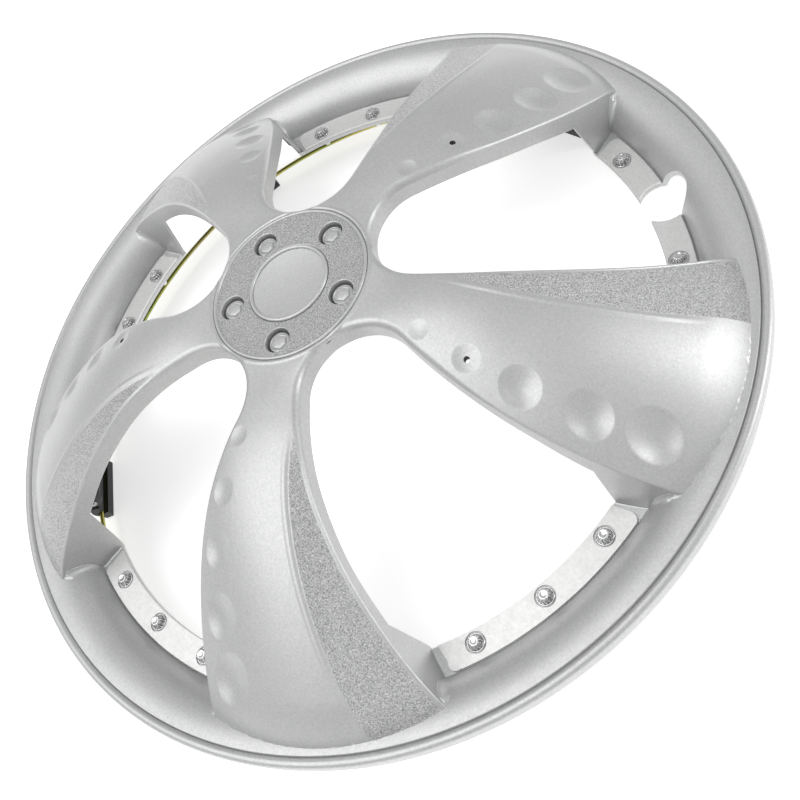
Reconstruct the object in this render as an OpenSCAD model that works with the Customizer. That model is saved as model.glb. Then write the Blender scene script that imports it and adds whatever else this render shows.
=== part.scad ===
// Five-blade wheel trim cover for a 15-inch wheel.
// Z runs along the wheel axis and the face looks up. The part stands on its
// clips at z = 0, and blade 0 points along +X. Millimetres and degrees.

/* [Cover] */
// Outer radius of the rim edge
cover_r = 207; // [205:0.5:209]
// Height of the rim's front plane above the clip tips
rim_h = 45; // [45:0.5:48]
// Wall thickness of the moulded face
skin = 2.4; // [2:0.1:2.8]
// Number of blades, windows, lug nuts and clips
blades = 5; // [5:1:5]
// Height of the rim's outer wall, down to its seat on the wheel
rim_wall = 6; // [5:0.5:7]

/* [Blades] */
// Radius of the sphere that a blade's crowned top is part of
crown_r = 214.6; // [212:0.2:217]
// Centre of that sphere, from the middle of the rim plane
crown_c = [51.5, 7.7, -160.2]; // [-165:0.1:55]
// Radius of both curved edges of a blade, in plan
edge_r = 209; // [207:0.5:211]
// Centre of the grained edge's arc, in plan
grain_edge_c = [47, 220]; // [40:0.5:225]
// Centre of the plain edge's arc, in plan
plain_edge_c = [175, 159]; // [150:0.5:180]
// Radius of the arc where the grained band begins
band_r = 221; // [219:0.5:223]
// Centre of the arc where the grained band begins
band_c = [104.5, 228]; // [100:0.5:235]
// Step from the smooth surface down to the grained band
band_step = 1.2; // [0.8:0.1:1.6]
// Depth of the turned-down edge round each window
flange_h = 10; // [8:0.5:12]
// Thickness of the turned-down edge
flange_t = 2.2; // [1.8:0.1:2.6]
// Angle of a window's middle line at its inner end
window_turn = 33.1; // [32.5:0.1:33.5]
// Distance of the window's round inner end from the wheel axis
window_end_c = 70.3; // [70:0.1:71]
// Radius of the window's round inner end
window_end_r = 27.4; // [27.2:0.1:27.8]

/* [Dimples] */
// Distance of each dimple from the wheel axis
dimple_at = [78, 102.3, 125.6, 152, 175.5]; // each between 70 and 180
// Angle of each dimple from the blade's index line
dimple_turn = [-12.4, -14.1, -13.9, -12.5, -10.6]; // each between -15 and -9
// Radius of each dimple
dimple_r = [4.6, 6, 8.3, 9.2, 10.4]; // each between 4 and 11
// Depth of each dimple
dimple_deep = [0.9, 0.8, 1.7, 1.9, 2]; // each between 0.5 and 2.2
// Radius of the tie hole in the second dimple of three blades
tie_hole_r = 1.4; // [1.2:0.1:1.6]
// Blades that have a tie hole
tie_blades = [0, 1, 3]; // any of 0 to 4

/* [Lip and ledge] */
// Radius at which the lip starts to roll down from the rim plane
lip_r = 200.4; // [200:0.1:201]
// Radius of the lip's roll
lip_roll = 23.6; // [23:0.1:24]
// Depth of the ledge under the rim plane
ledge_h = 17; // [16.5:0.1:17.5]
// Inner radius of the ledge
ledge_in = 163.8; // [163:0.1:164]
// Radius of the round valve notch
notch_r = 12.1; // [11.8:0.1:12.3]
// Distance of the notch's centre from the wheel axis
notch_at = 173.4; // [173:0.1:173.8]

/* [Strips and bolts] */
// Thickness of a bolt strip
strip_t = 1.6; // [1.4:0.1:1.8]
// Inner radius of a bolt strip
strip_in = 164; // [164:0.1:164.5]
// Outer radius of a bolt strip
strip_out = 177.3; // [176.8:0.1:177.5]
// Angles of a strip's inner corners, from the blade before it
strip_ends = [18, 52.2]; // [17:0.1:54]
// Distance of the bolts from the wheel axis
bolt_at = 169.7; // [169:0.1:170.5]
// Angle of the middle bolt, and half the angle between the outer two
bolt_turns = [35.9, 12]; // [11:0.1:37]
// Radius of a bolt's shank
shank_r = 1.7; // [1.5:0.1:1.9]
// Radius of a bolt's flange
bolt_flange_r = 4.3; // [4:0.1:4.5]
// Number of teeth on a bolt's splined head
spline_teeth = 12; // [12:1:16]

/* [Hub] */
// Height of the hub above the rim plane
hub_h = 54.8; // [54.4:0.1:55]
// Radius of the hub plate
plate_r = 41.2; // [40.8:0.1:41.4]
// Thickness of the hub plate
plate_t = 3; // [2.8:0.1:3.2]
// Distance of the lug nuts from the wheel axis
lug_at = 30.8; // [30:0.1:31.5]
// Angle of the first lug nut
lug_turn = -4.5; // [-6:0.5:-3]
// Inner radius of a lug pocket
pocket_r = 6.8; // [6.5:0.1:7]
// Radius of the centre cap
cap_r = 21; // [20.5:0.1:21]

/* [Retention] */
// Radius of the wire ring, to the middle of its wire
ring_r = 184.8; // [184:0.1:185.5]
// Thickness of the wire
wire_d = 2.6; // [2.4:0.1:2.8]
// Depth of the wire ring under the rim plane
ring_depth = 37.9; // [37:0.1:38.5]
// Angle of a clip from the blade's index line
clip_turn = -3.5; // [-5:0.5:-2]
// Width of a clip's hooked bar
clip_w = 36; // [34:1:37]
// Width of a clip's knuckle, between its two ears
knuckle_w = 29; // [27:1:30]
// Distance of the clip's pivot from the wheel axis
pivot_at = 179; // [178:0.5:180]
// Depth of the clip's pivot under the rim plane
pivot_depth = 25; // [24:0.5:26]
// Radius of the pivot pin
pin_r = 2; // [1.8:0.1:2.2]

/* [Hidden] */
$fn = 96;
pitch = 360 / blades;
deep = 100;                       // more than the height of any form
bead_r = 2.4;                     // rim bead
land = 1.4;                       // flat land between lip and groove
groove_h = 1.2;                   // depth of the groove inside the bead
seat_z = hub_h - plate_t;         // floor of the hub plate's seat
chord_turn = 22.6;                // chord between a window's round end and its sides:
chord_at = 62;                    // direction of its normal, and distance from the wheel axis
hub_flat = 50;                    // radius of the hub's flat top
hub_end = 70;                     // radius at which the hub's cone ends
hub_fall = tan(10);               // slope of the hub's cone
wall_foot = 164;                  // inner edge of a window's side wall at the ledge
wall_head = 158.6;                // inner edge of the same wall at the blade
wall_head_h = 15;
cup_r = pocket_r + 1.3;           // outside of a lug pocket
cup_floor = hub_h - 9;             // underside of a lug pocket
cup_t = 1.5;                      // thickness of a pocket's floor
plate_sink = 0.9;                 // grained face of the plate, under the top of its bead
cap_seat = seat_z + 0.8;
dish_arc = 160;                   // radius of the cap's shallow dish
nut_h = 4.6;
nut_r = 5.1;
spigot_r = 1.2;
shank_l = 8;                      // bolt shank under the flange
nut_t = 0.6;                      // thickness of a push nut
screw_at = 31;                    // hub screws, between the lug pockets
screw_r = 1.25;
strip_top = strip_t - ledge_h;
play = 0.3;                       // gap beside anything that moves
clear = 0.05;                     // keeps two cut surfaces from lying on each other
fit = 0.05;                       // running clearance on the pivot pins
tower_t = 3;                      // ears and web of a clip tower
ear_r = 4.5;                      // rounded end of a tower's ear
knuckle_r = 3.6;
bar_top = -31.5;                  // shoulders of a clip's hooked bar, which stop against the ears
barb_r = 188.6;                   // furthest point of a clip, inside the wheel's barrel
hook_in = 180.4;                  // inner end of the hook that holds the wire
pin_l = 40;

// ---- helpers ----

module at_rim() translate([0, 0, rim_h]) children();

module around(n = blades, turn = pitch) for (i = [0 : n - 1]) rotate(i * turn) children();

// A plan shape as a tall column
module column(low = deep) translate([0, 0, -low]) linear_extrude(low + deep) children();

// A plate of the given profile (x outward, y up), width w, standing across the radius
module across(w) translate([0, w / 2, 0]) rotate([90, 0, 0]) linear_extrude(w) children();

// ---- plan shapes ----

// One blade in plan, grown all round by d
module blade_plan(d = 0) difference() {
  translate(plain_edge_c) circle(edge_r + d);
  translate(grain_edge_c) circle(edge_r - d);
}

// The window between blade 0 and blade 1, shrunk where d is negative
module window_plan(d = 0) {
  far = 1.2 * cover_r;
  rotate(window_turn) translate([window_end_c, 0]) circle(window_end_r + d);
  difference() {
    intersection() {
      polygon([[0, 0], far * [cos(1), sin(1)], 1.2 * far * [cos(31), sin(31)], far * [cos(61), sin(61)]]);
      rotate(chord_turn) translate([chord_at, -far]) square(2 * far);
    }
    blade_plan(-d);
    rotate(pitch) blade_plan(-d);
  }
}

// Everything inside the lip that isn't window, out to radius r
module blades_plan(r, d = 0) difference() {
  circle(r);
  around() window_plan(d);
}

// ---- face forms, solid down to the bottom ----

// Sphere under a blade's crowned top; its poles lie well below the part
module crown(inset = 0, drop = 0) translate([0, 0, -drop]) translate(crown_c) rotate([90, 0, 0])
  sphere(crown_r - inset);

// Height of a blade's top over the rim plane, at distance r and angle a
function crown_at(r, a) = crown_c[2]
  + sqrt(pow(crown_r, 2) - pow(r * cos(a) - crown_c[0], 2) - pow(r * sin(a) - crown_c[1], 2));

module hub_form(inset = 0, drop = 0) translate([0, 0, hub_h - inset - drop]) rotate_extrude()
  polygon([[0, 0], [hub_flat, 0], [hub_end, (hub_flat - hub_end) * hub_fall], [hub_end, -deep], [0, -deep]]);

// Outside of the face: smooth crown, and the grained band one step lower
module face_out() intersection() {
  union() {
    around() {
      crown(band_step);
      difference() {
        crown();
        column() translate(band_c) circle(band_r);
      }
    }
    hub_form();
  }
  column(2 * ledge_h) blades_plan(lip_r - 1);
}

module face_in() intersection() {
  union() {
    around() crown(band_step + skin);
    hub_form(skin);
  }
  column() blades_plan(lip_r - flange_t, flange_t);
}

// What is cut away below the turned-down edges, inside the side walls near the lip
module face_under() intersection() {
  slope = (wall_foot - wall_head) / (wall_head_h + ledge_h);
  union() {
    around() crown(0, flange_h);
    hub_form(0, flange_h);
  }
  translate([0, 0, -deep]) cylinder(h = 2 * deep, r1 = wall_head + slope * (deep + wall_head_h),
    r2 = wall_head + slope * (wall_head_h - deep));
}

// ---- rim and lip profiles (x = radius, y = height over the rim plane) ----

// Ledge, lip, land, groove and bead, still solid behind the lip
module ring_profile() {
  x = cover_r - bead_r;
  low = ledge_h + skin + 2;
  intersection() {
    translate([lip_r, -lip_roll]) circle(lip_roll);
    translate([lip_r - lip_roll, -low]) square([lip_roll, low]);
  }
  translate([ledge_in, -low]) square([lip_r - lip_roll + 3 - ledge_in, skin + 2]);
  polygon([[lip_r, 0], [lip_r + land, 0], [lip_r + land + 0.8, -groove_h], [x, -groove_h],
    [x, -groove_h - skin], [lip_r, -groove_h - skin]]);
  translate([x, -bead_r + 0.6]) circle(bead_r);
  translate([x, -rim_wall]) square([bead_r, rim_wall - bead_r + 0.6]);
}

// Space behind the ledge and the lip
module lip_under() {
  low = -ledge_h - skin;
  translate([ledge_in - 5, -deep]) square([lip_r + 0.3 - ledge_in + 5, deep + low]);
  intersection() {
    translate([lip_r, -lip_roll]) circle(lip_roll - skin);
    translate([ledge_in, low - 1]) square([lip_r + 0.3 - ledge_in, ledge_h]);
  }
}

// ---- details of the face ----

// Sphere that presses dimple i into the crown
module dimple_ball(i) {
  r = (pow(dimple_r[i], 2) + pow(dimple_deep[i], 2)) / (2 * dimple_deep[i]);
  top = crown_at(dimple_at[i], dimple_turn[i]);
  lean = atan(top - crown_at(dimple_at[i] + 1, dimple_turn[i]));
  rotate(dimple_turn[i]) translate([dimple_at[i], 0, top]) rotate([0, lean, 0])
    translate([0, 0, r - dimple_deep[i]]) sphere(r);
}

// Two ears and a web that carry one clip's pivot
module clip_tower() difference() {
  intersection() {
    rotate(clip_turn) {
      for (s = [-1, 1]) translate([0, s * (knuckle_w / 2 + play + tower_t / 2), 0]) across(tower_t) {
        translate([pivot_at - ear_r, -pivot_depth]) square([2 * ear_r, 60]);
        translate([pivot_at, -pivot_depth]) circle(ear_r);
        translate([pivot_at + 1, bar_top + play]) square([ear_r + 1, 10]);
      }
      across(knuckle_w + 2 * (play + tower_t)) translate([pivot_at - ear_r - tower_t + 0.5, 6 - pivot_depth])
        square([tower_t, 60]);
    }
    crown(band_step + 1);
  }
  rotate(clip_turn) pivot_bore(pin_r);
}

module pivot_bore(r, w = 60) translate([pivot_at, w / 2, -pivot_depth]) rotate([90, 0, 0])
  cylinder(h = w, r = r);

// Places of window k's bolts; window 0 has the valve notch where its middle bolt would be
module bolt_sites(k) for (i = [-1 : 1]) if (k != 0 || i != 0)
  rotate(k * pitch + bolt_turns[0] + i * bolt_turns[1]) translate([bolt_at, 0, 0]) children();

module bolt_holes(r, k) bolt_sites(k) translate([0, 0, -deep]) cylinder(h = 2 * deep, r = r);

module valve_notch() rotate(bolt_turns[0]) column() translate([notch_at, 0]) circle(notch_r);

// ---- sub-parts ----

// Face, lip and rim, hollow behind
module face_shell() difference() {
  union() {
    face_out();
    rotate_extrude() ring_profile();
  }
  face_in();
  face_under();
  rotate_extrude() lip_under();
}

module cover_shell() color("silver") at_rim() difference() {
  union() {
    face_shell();
    translate([0, 0, seat_z - skin]) cylinder(h = plate_t + skin - 0.5, r = plate_r + 1.4);
    around() clip_tower();
  }
  around() for (i = [0 : len(dimple_at) - 1]) dimple_ball(i);
  for (k = [0 : blades - 1]) bolt_holes(shank_r + 0.1, k);
  valve_notch();
  for (b = tie_blades) rotate(b * pitch + dimple_turn[1]) translate([dimple_at[1], 0, 0])
    cylinder(h = deep, r = tie_hole_r);
  translate([0, 0, seat_z]) cylinder(h = deep, r = plate_r + 0.2);
  cylinder(h = deep, r = cap_r - 1);
  rotate(lug_turn) around() translate([lug_at, 0, 0]) cylinder(h = deep, r = cup_r + 0.2);
  rotate(lug_turn + pitch / 2) around() translate([screw_at, 0, 0]) cylinder(h = deep, r = screw_r + 0.4);
}

module hub_plate() color("silver") at_rim() difference() {
  union() {
    translate([0, 0, seat_z]) cylinder(h = plate_t - plate_sink, r = plate_r);
    rotate_extrude() translate([plate_r - 0.9, hub_h - plate_sink]) circle(0.9, $fn = 48);
    lug_sites() translate([0, 0, cup_floor]) cylinder(h = hub_h - 0.3 - cup_floor, r = cup_r);
  }
  lug_sites() {
    translate([0, 0, cup_floor + cup_t]) cylinder(h = deep, r = pocket_r);
    translate([0, 0, cup_floor - 1]) cylinder(h = deep, r = spigot_r);
  }
  translate([0, 0, seat_z - 1]) cylinder(h = deep, r = cap_r - 1.9);
  translate([0, 0, cap_seat]) cylinder(h = deep, r = cap_r + 0.2);
  screw_sites() translate([0, 0, seat_z - 1]) cylinder(h = 3, r = screw_r);
}

module lug_sites() rotate(lug_turn) around() translate([lug_at, 0]) children();

module screw_sites() rotate(lug_turn + pitch / 2) around() translate([screw_at, 0]) children();

// Press-in cap: a bead round a shallow dish, and a skirt with a barb under the plate
module centre_cap() color("gainsboro") at_rim() {
  r = cap_r - 2;
  difference() {
    union() {
      translate([0, 0, cap_seat]) cylinder(h = 1.6, r = cap_r);
      rotate_extrude() translate([cap_r - 0.9, cap_seat + 1.4]) circle(0.9);
    }
    translate([0, 0, cap_seat + dish_arc + 0.9]) rotate([90, 0, 0]) sphere(dish_arc, $fn = 360);
  }
  difference() {
    union() {
      translate([0, 0, cap_seat - 5]) cylinder(h = 5.5, r = r);
      translate([0, 0, seat_z - 1.7]) cylinder(h = 1.7 - clear, r1 = r - 0.2, r2 = r + 0.6);
    }
    translate([0, 0, cap_seat - 6]) cylinder(h = 6.4, r = r - 1.6);
  }
}

// Dummy lug nuts: round body with a bevelled edge, a low hexagon on top, and a staked spigot
module lug_nuts() color("silver") at_rim() lug_sites() translate([0, 0, cup_floor + cup_t]) {
  cylinder(h = nut_h - 0.9, r = nut_r);
  translate([0, 0, nut_h - 0.9]) cylinder(h = 0.6, r1 = nut_r, r2 = nut_r - 0.6);
  cylinder(h = nut_h, r = 3.3, $fn = 6);
  translate([0, 0, -cup_t - 0.6]) cylinder(h = cup_t + 1, r = spigot_r);
}

module hub_screws() color("dimgray") at_rim() screw_sites() {
  translate([0, 0, seat_z - skin]) cylinder(h = skin + 1.9, r = screw_r);
  difference() {
    translate([0, 0, seat_z - skin - 1.8]) cylinder(h = 1.8, r = 2.7);
    for (a = [0, 90]) rotate(a) translate([-1.6, -0.3, seat_z - skin - 2]) cube([3.2, 0.6, 1.2]);
  }
}

// ---- strips and bolts ----

function polar(r, a) = r * [cos(a), sin(a)];

// Sector of a ring between two leaning ends, with rounded outer corners
module strip_plan() {
  c = 3.5;
  lean = 0.1;                     // degrees per millimetre of radius
  turn = c / strip_out * 180 / PI;
  module ends(d) polygon([polar(150, strip_ends[0] - 14 * lean + d),
    polar(190, strip_ends[0] + 26 * lean + d), polar(230, 36),
    polar(190, strip_ends[1] + 17 * lean - d), polar(150, strip_ends[1] - 9 * lean - d)]);
  intersection() {
    difference() {
      circle(strip_out - c);
      circle(strip_in);
    }
    ends(0);
  }
  intersection() {
    difference() {
      circle(strip_out);
      circle(strip_in + 3);
    }
    ends(turn);
  }
  for (a = [strip_ends[0] + 9.8 * lean + turn, strip_ends[1] + 6.5 * lean - turn])
    rotate(a) translate([strip_out - c, 0]) circle(c - 0.02);
}

module strip(k) color("whitesmoke") at_rim() difference() {
  rotate(k * pitch) translate([0, 0, -ledge_h]) linear_extrude(strip_t) strip_plan();
  bolt_holes(shank_r + 0.1, k);
  translate([0, 0, deep + strip_top - 0.9]) bolt_holes(bolt_flange_r + 0.5, k);
  if (k == 0) valve_notch();
}

// One side of the strip that the valve notch cuts in two
module half_strip(side) intersection() {
  strip(0);
  column() rotate(bolt_turns[0]) translate([100, side > 0 ? 0 : -100]) square(100);
}

// Splined dummy bolts of window k
module spline_bolts(k) color("lightgray") at_rim() bolt_sites(k) translate([0, 0, strip_top - 0.9]) {
  translate([0, 0, -shank_l]) cylinder(h = shank_l + 0.5, r = shank_r);
  cylinder(h = 0.8, r = bolt_flange_r);
  difference() {
    union() {
      cylinder(h = 1.4, r = 3.9);
      linear_extrude(3.4) spline_plan(3.3, 2.8);
      translate([0, 0, 3.4]) cylinder(h = 0.8, r1 = 2.8, r2 = 2.2);
    }
    translate([0, 0, 6.6]) sphere(r = 3);
  }
}

module spline_plan(tip, root) polygon([for (i = [0 : 2 * spline_teeth - 1])
  let (a = i * 180 / spline_teeth, r = i % 2 == 0 ? tip : root) r * [cos(a), sin(a)]]);

// Star nuts pushed onto the shanks, behind the ledge
module push_nuts(k) color("dimgray") at_rim() bolt_sites(k) translate([0, 0, -ledge_h - skin - nut_t])
  difference() {
    cylinder(h = nut_t, r = 4.5);
    translate([0, 0, -1]) cylinder(h = 3, r = shank_r);
    for (a = [0 : 60 : 300]) rotate(a) translate([shank_r - 0.4, -0.25, -1]) cube([1.5, 0.5, 3]);
  }

// ---- retention ----

module retention_ring() color("darkkhaki") at_rim() translate([0, 0, -ring_depth]) rotate_extrude()
  translate([ring_r, 0]) circle(wire_d / 2, $fn = 32);

// Clip behind blade k: a knuckle on the pivot pin, and a hooked bar that the wire pushes outward
module clip(k) color("black") at_rim() rotate(k * pitch + clip_turn) difference() {
  union() {
    across(knuckle_w) {
      translate([pivot_at, -pivot_depth]) circle(knuckle_r);
      polygon([[pivot_at - 2.4, -pivot_depth - 2.6], [pivot_at + 3, -pivot_depth - 1.8],
        [barb_r - 1.6, bar_top - 0.5], [barb_r - 1.6, bar_top - 2], [hook_in + 1.6, bar_top - 2]]);
    }
    across(clip_w) polygon([[hook_in + 1.2, bar_top - 1.2], [hook_in + 2.4, bar_top], [barb_r - 1.2, bar_top],
      [barb_r, bar_top - 4], [barb_r, bar_top - 6], [barb_r - 3, -rim_h], [hook_in + 0.8, -rim_h],
      [hook_in, -rim_h + 0.8], [hook_in, -ring_depth], [hook_in + 1.2, -ring_depth]]);
  }
  pivot_bore(pin_r + fit);
  across(clip_w + 2) translate([ring_r, -ring_depth]) {
    circle(wire_d / 2 + 0.1);
    translate([-10, -wire_d / 2 - 0.1]) square([10, wire_d + 0.2]);
  }
}

module clip_pins() color("dimgray") at_rim() around() rotate(clip_turn) {
  pivot_bore(pin_r, pin_l - 2 * pin_r);
  for (s = [-1, 1]) translate([pivot_at, s * (pin_l / 2 - pin_r), -pivot_depth]) sphere(pin_r);
}

cover_shell();
hub_plate();
centre_cap();
lug_nuts();
hub_screws();
half_strip(-1);  // valve_strip_a
half_strip(1);  // valve_strip_b
strip(1);  // bolt_strip_1
strip(2);  // bolt_strip_2
strip(3);  // bolt_strip_3
strip(4);  // bolt_strip_4
spline_bolts(0);  // spline_bolts_0
spline_bolts(1);  // spline_bolts_1
spline_bolts(2);  // spline_bolts_2
spline_bolts(3);  // spline_bolts_3
spline_bolts(4);  // spline_bolts_4
push_nuts(0);  // push_nuts_0
push_nuts(1);  // push_nuts_1
push_nuts(2);  // push_nuts_2
push_nuts(3);  // push_nuts_3
push_nuts(4);  // push_nuts_4
retention_ring();
clip(0);  // clip_1
clip(1);  // clip_2
clip(2);  // clip_3
clip(3);  // clip_4
clip(4);  // clip_5
clip_pins();
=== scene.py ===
import bmesh
import bpy
import math
import numpy as np
from mathutils import Matrix, Vector
from mathutils.geometry import delaunay_2d_cdt


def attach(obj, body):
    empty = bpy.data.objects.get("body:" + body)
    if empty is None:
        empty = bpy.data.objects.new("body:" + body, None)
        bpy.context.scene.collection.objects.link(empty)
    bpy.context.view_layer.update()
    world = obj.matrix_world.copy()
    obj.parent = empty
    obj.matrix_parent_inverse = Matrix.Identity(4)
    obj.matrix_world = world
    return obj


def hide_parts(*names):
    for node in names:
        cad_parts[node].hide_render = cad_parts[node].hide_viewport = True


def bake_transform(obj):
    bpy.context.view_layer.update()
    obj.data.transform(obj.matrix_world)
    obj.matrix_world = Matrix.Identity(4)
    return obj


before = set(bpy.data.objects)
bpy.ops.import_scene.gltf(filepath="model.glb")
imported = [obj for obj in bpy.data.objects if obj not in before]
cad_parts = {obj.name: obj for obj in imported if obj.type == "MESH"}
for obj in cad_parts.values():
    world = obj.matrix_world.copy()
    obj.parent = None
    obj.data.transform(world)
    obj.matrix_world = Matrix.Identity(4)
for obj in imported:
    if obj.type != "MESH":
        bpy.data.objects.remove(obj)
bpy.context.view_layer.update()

# Shapes are worked out in millimetres with z = 0 in the rim's plane. Mesh.object() and loft() turn them
# into metres over the floor.
RIM_H = 45.0                                # the rim's plane over the floor
BLADES = 5
TURN = 2 * math.pi / BLADES
RAD = math.pi / 180
AXIS = np.zeros(2)

# Plan of blade 0: two long edges, a round window end on each side near the hub, and the arc round its grain
GRAIN_C, PLAIN_C, EDGE_R = np.array([47.0, 220.0]), np.array([175.0, 159.0]), 209.0
END_D, END_A, END_R = 69.9, 33.2 * RAD, 26.91
BAND_C, BAND_R = np.array([104.4, 228.0]), 221.0
BLADE_FAR, BLADE_END = 198.0, 200.2         # where its edges stop, and where its top runs under the rim

# Its top: rolled edges, the grain's step with a bead along it, and the grain's raised border
ROLL, CRISP = 3.2, 1.1                      # radius of the rolled edge near the hub and further out
STEP, BEAD = 0.25, 0.4
GRAIN_EDGE = 1.9                            # width of that border
TALLEST = 54.8
SKIN = 2.4                                  # thickness of the moulding
ROOF = SKIN + 0.4                           # thickness of a blade's top
WALL = ROLL * (1 - math.cos(75 * RAD))      # thickness of a blade's side walls
FLANGE = 10.0                               # depth of those walls

# Lip and ledge of a window, and the valve notch in window 0
LIP_R, LIP_ROLL, LEDGE_Z, LEDGE_R = 200.4, 23.6, -17.0, 163.8
LIP_NEAR, LIP_FAR = 177.0, 195.5
NOTCH_R, NOTCH_D, NOTCH_A = 12.1, 173.4, 35.9 * RAD

# Hub: the seat's wall and shelf, the plate on it, and the circles of the lug nuts and the hidden screws
SEAT_R, SEAT_Z = 41.45, 51.8
SHELF_OUT, SHELF_IN, SCREW_HOLE = 43, 20, 1.65
PLATE_R, PLATE_Z, PLATE_BACK = 39.3, 53.9, 51.85
PLATE_OUT, PLATE_IN = PLATE_R + 1.9, 21.6
PIT_Z, PIT_R, PIT_MOUTH, PIT_OUT = 47.3, 6.3, 6.75, 8.1
LUG_D, LUG_A, SCREW_D, SCREW_A = 30.8, -4.5 * RAD, 31.0, 31.5 * RAD

# Dummy bolts on the strips: the middle one of a window would stand where window 0 has its notch
BOLT_D, BOLT_Z, SPLINES = 169.7, LEDGE_Z + 0.7, 12

# Clip towers behind the blades
TOWER_A, PIN_R, PIN_Z, EAR_R = -3.5 * RAD, 179, -25, 4.5
CLIP_HALF, EAR, PLAY = 14.5, 3.0, 0.3

# The wire ring
WIRE_R, WIRE_Z, WIRE = 184.8, -37.9, 1.3
RING_GAP = (35.5, 50.5)                     # degrees

# Dimples of a blade: radius and angle of the middle, size, depth. The second one may hold a tie hole.
TIE_R, TIED = 1.4, 1
DIMPLES = [(78, -12.4, 4.8, 0.6), (102.3, -14.1, 6.2, 1.1), (125.6, -13.9, 8.6, 2.2),
           (152, -12.5, 9.6, 2.8), (175.5, -10.6, 10.8, 3.1)]
TIE_BLADES = (0, 1, 3)
# Height of a blade's middle line over the rim plane, at every SPINE_STEP of radius from SPINE_FROM
SPINE_FROM, SPINE_STEP = 40, 20
SPINE = [54, 54.5, 54, 51, 45, 37, 27, 15.7, 3, -12]


# ---- plan and height of a blade ----
def polar(r, a):
    return np.stack([r * np.cos(a), r * np.sin(a)], -1)


def spin(p, a):
    c, s = math.cos(a), math.sin(a)
    return np.asarray(p) @ np.array([[c, s], [-s, c]])


def ramp(x, a, b):
    t = np.clip((x - a) / (b - a), 0, 1)
    return t * t * (3 - 2 * t)


LUGS = [polar(LUG_D, LUG_A + TURN * k) for k in range(BLADES)]
SCREWS = [polar(SCREW_D, SCREW_A + TURN * k) for k in range(BLADES)]
END_1 = polar(END_D, END_A)                 # window after this blade
END_0 = spin(END_1, -TURN)                  # window before this blade
T1 = GRAIN_C + EDGE_R * (END_1 - GRAIN_C) / np.linalg.norm(END_1 - GRAIN_C)
T0 = PLAIN_C + EDGE_R * (END_0 - PLAIN_C) / np.linalg.norm(END_0 - PLAIN_C)
N1 = (T1 - spin(T0, TURN))[::-1] * np.array([-1.0, 1.0])
N1 = N1 / np.linalg.norm(N1)
N1 = N1 if N1 @ END_1 > 0 else -N1          # normal of the chord between the window's tangent points
N0 = spin(N1, -TURN)


def bell(x, half):
    """Smooth hump of the given half width, 1 at its middle."""
    return (1 - np.clip(x / half, -1, 1) ** 2) ** 2


def spine(r):
    """Catmull-Rom curve through SPINE."""
    p = np.array([SPINE[0]] + SPINE + [SPINE[-1]], float)
    u = np.clip((r - SPINE_FROM) / SPINE_STEP, 0, len(SPINE) - 1.001)
    i = u.astype(int)
    t = u - i
    a, b, c, d = p[i], p[i + 1], p[i + 2], p[i + 3]
    square = a - 2.5 * b + 2 * c - d / 2
    cube = 1.5 * (b - c) + (d - a) / 2
    return b + t * (c - a) / 2 + t * t * square + t ** 3 * cube


def crown(x, y):
    """Height of a blade's top over the rim plane, before any detail."""
    r, a = np.hypot(x, y), np.arctan2(y, x)
    t = r * a                                   # across the blade, from its index line
    h = spine(r) + 0.001 * (r - 132) * t - (0.0084 - 0.00003 * r) * t * t
    lift = a / RAD - 2.5
    end = 198.9 - np.where(lift < 0, 0.0255, 0.0212) * lift ** 2
    fall = (end - r) * 1.2                      # the steep drop to the rim, blended in over soft
    soft = 5.0
    m = np.clip(0.5 + 0.5 * (fall - h) / soft, 0, 1)
    h = fall * (1 - m) + h * m - soft * m * (1 - m)
    h = np.where(r > 185, np.maximum(h, lip_z(r) - 1.0), h)
    w = ramp(r, 44, 66)                         # the blades merge into the flat hub
    return 54.2 * (1 - w) + h * w


def edge_distance(x, y):
    """Distance into the blade from its window edges, and that distance's direction."""
    p = np.stack([x, y], -1)

    def circle(c, r, sign):
        q = p - c
        d = np.linalg.norm(q, axis=-1)
        return sign * (d - r), sign * q / d[..., None]

    dg, ng = circle(GRAIN_C, EDGE_R, 1)
    dp, np_ = circle(PLAIN_C, EDGE_R, -1)
    d1, n1 = circle(END_1, END_R, 1)
    d0, n0 = circle(END_0, END_R, 1)
    far1 = (p @ N1) > (T1 @ N1)
    far0 = (p @ N0) > (T0 @ N0)
    da, na = np.where(far1, dg, d1), np.where(far1[..., None], ng, n1)
    db, nb = np.where(far0, dp, d0), np.where(far0[..., None], np_, n0)
    near = da < db
    return np.where(near, da, db), np.where(near[..., None], na, nb)


def band_distance(x, y):
    """Distance from the arc that bounds the grain, negative on the grained side."""
    return np.hypot(x - BAND_C[0], y - BAND_C[1]) - BAND_R


def grain_mask(x, y):
    """1 where a blade's top is grained."""
    d, _ = edge_distance(x, y)
    inside = (1 - ramp(band_distance(x, y), -2.5, -1.9)) * ramp(d, GRAIN_EDGE, GRAIN_EDGE + 0.5)
    return inside * ramp(np.hypot(x, y), 64, 100)


def top(x, y):
    """Height of the blade's top with its step, beads and dimples, but not the rolled edge."""
    h = crown(x, y)
    r = np.hypot(x, y)
    w = band_distance(x, y)
    on = ramp(r, 72, 100) * (1 - ramp(r, 160, 187))
    h = h - STEP * on * (1 - ramp(w, -2.1, -0.4))
    h = h + BEAD * bell(r - SEAT_R - 1.1, 1.1)
    h = h + BEAD * on * bell(w, 1.9)
    d, _ = edge_distance(x, y)
    border = ramp(r, 70, 100) * (1 - ramp(r, 180, 192))
    h = h + BEAD * border * (1 - ramp(d, 1.0, GRAIN_EDGE)) * (1 - ramp(w, -1.0, 0.5))
    for dr, da, rad, deep in DIMPLES:
        c = polar(dr, da * RAD)
        t = np.clip(np.hypot(x - c[0], y - c[1]) / rad, 0, 1)
        h = h - deep * (1 - t * t) ** 1.25
    return np.minimum(h, TALLEST)


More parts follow.
